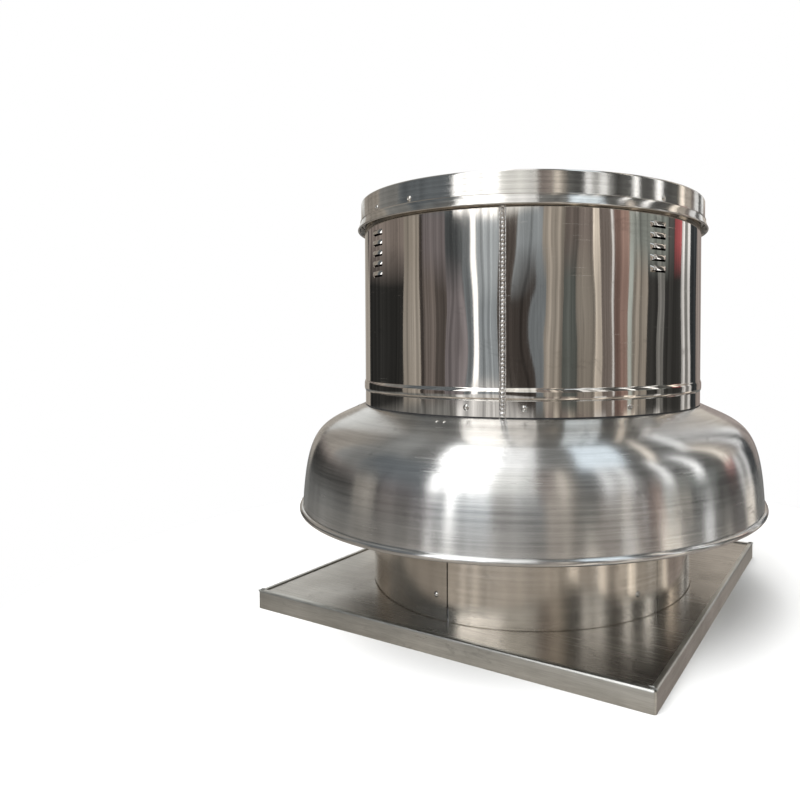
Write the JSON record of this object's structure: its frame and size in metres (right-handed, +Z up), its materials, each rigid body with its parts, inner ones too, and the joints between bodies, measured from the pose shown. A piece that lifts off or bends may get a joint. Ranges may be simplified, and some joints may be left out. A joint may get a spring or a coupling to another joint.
{
  "type": "roof exhaust fan",
  "caption": "Downblast roof exhaust fan: square curb base, round skirt, spun hood and tall capped motor compartment over a direct driven centrifugal impeller.",
  "frame": {"origin": "bottom centre of the square base, on the plane that the folded edge ends at", "axes": "+Z up along the shaft, -Y towards the front edge of the base, +X to the right"},
  "size_m": [0.9, 0.9, 0.756],
  "materials": {
    "base_frame": "brushed",
    "base_plate": "brushed",
    "foot_ring": "brushed",
    "foot_rivets": "satin spun",
    "skirt_shell": "brushed",
    "skirt_panel": "brushed",
    "seam_straps": "brushed",
    "skirt_screws": "brushed",
    "skirt_deck": "brushed",
    "inlet_cone": "satin spun",
    "inlet_cone_screws": "brushed",
    "strut_1": "brushed",
    "strut_2": "brushed",
    "strut_3": "brushed",
    "strut_4": "brushed",
    "strut_5": "brushed",
    "strut_6": "brushed",
    "hood": "satin spun",
    "hood_brackets": "brushed",
    "hood_rivets": "satin spun",
    "hood_gasket": "matte",
    "compartment_floor": "brushed",
    "floor_bolts": "brushed",
    "floor_nuts": "brushed",
    "wiring_conduit": "brushed",
    "conduit_nuts": "brushed",
    "compartment_shell": "mirror polished stainless",
    "shell_weld": "mirror polished stainless",
    "shell_screws": "brushed",
    "cap_ring": "brushed",
    "top_cap": "mirror polished stainless",
    "cap_screws": "brushed",
    "isolators": "matte",
    "isolator_bolts": "brushed",
    "motor_plate": "semi gloss",
    "flange_bolts": "brushed",
    "drive_shield": "semi gloss",
    "motor_housing": "semi gloss",
    "rear_shield": "semi gloss",
    "fan_cowl": "semi gloss",
    "cowl_screws": "brushed",
    "terminal_box": "semi gloss",
    "terminal_lid": "semi gloss",
    "lid_screws": "brushed",
    "cable_gland": "matte",
    "stator_core": "semi gloss",
    "stator_windings": "varnished copper",
    "lower_bearing": "brushed",
    "upper_bearing": "brushed",
    "motor_shaft": "brushed",
    "rotor_core": "semi gloss",
    "cooling_fan": "matte",
    "impeller_hub": "semi gloss",
    "hub_key": "brushed",
    "hub_washer": "brushed",
    "hub_bolt": "brushed",
    "hub_rivets": "brushed",
    "impeller_back_plate": "satin spun",
    "impeller_blades": "satin spun",
    "impeller_shroud": "satin spun"
  },
  "bodies": {
    "casing": {"base_frame": "base_frame", "base_plate": "base_plate", "foot_ring": "foot_ring", "foot_rivets": "foot_rivets", "skirt_shell": "skirt_shell", "skirt_panel": "skirt_panel", "seam_straps": "seam_straps", "skirt_screws": "skirt_screws", "skirt_deck": "skirt_deck", "inlet_cone": "inlet_cone", "inlet_cone_screws": "inlet_cone_screws", "strut_1": "strut_1", "strut_2": "strut_2", "strut_3": "strut_3", "strut_4": "strut_4", "strut_5": "strut_5", "strut_6": "strut_6", "hood": "hood", "hood_brackets": "hood_brackets", "hood_rivets": "hood_rivets", "hood_gasket": "hood_gasket", "compartment_floor": "compartment_floor", "floor_bolts": "floor_bolts", "floor_nuts": "floor_nuts", "wiring_conduit": "wiring_conduit", "conduit_nuts": "conduit_nuts", "compartment_shell": "compartment_shell", "shell_weld": "shell_weld", "shell_screws": "shell_screws", "cap_ring": "cap_ring", "top_cap": "top_cap", "cap_screws": "cap_screws", "isolators": "isolators", "isolator_bolts": "isolator_bolts", "motor_plate": "motor_plate", "flange_bolts": "flange_bolts", "drive_shield": "drive_shield", "motor_housing": "motor_housing", "rear_shield": "rear_shield", "fan_cowl": "fan_cowl", "cowl_screws": "cowl_screws", "terminal_box": "terminal_box", "terminal_lid": "terminal_lid", "lid_screws": "lid_screws", "cable_gland": "cable_gland", "stator_core": "stator_core", "stator_windings": "stator_windings", "lower_bearing": "lower_bearing", "upper_bearing": "upper_bearing"},
    "rotor": {"motor_shaft": "motor_shaft", "rotor_core": "rotor_core", "cooling_fan": "cooling_fan", "impeller_hub": "impeller_hub", "hub_key": "hub_key", "hub_washer": "hub_washer", "hub_bolt": "hub_bolt", "hub_rivets": "hub_rivets", "impeller_back_plate": "impeller_back_plate", "impeller_blades": "impeller_blades", "impeller_shroud": "impeller_shroud"}
  },
  "joints": [
    {"name": "impeller_spin", "type": "hinge", "parent": "casing", "child": "rotor", "pos_m": [0, 0, 0.4], "axis": [0, 0, 1], "continuous": true}
  ]
}
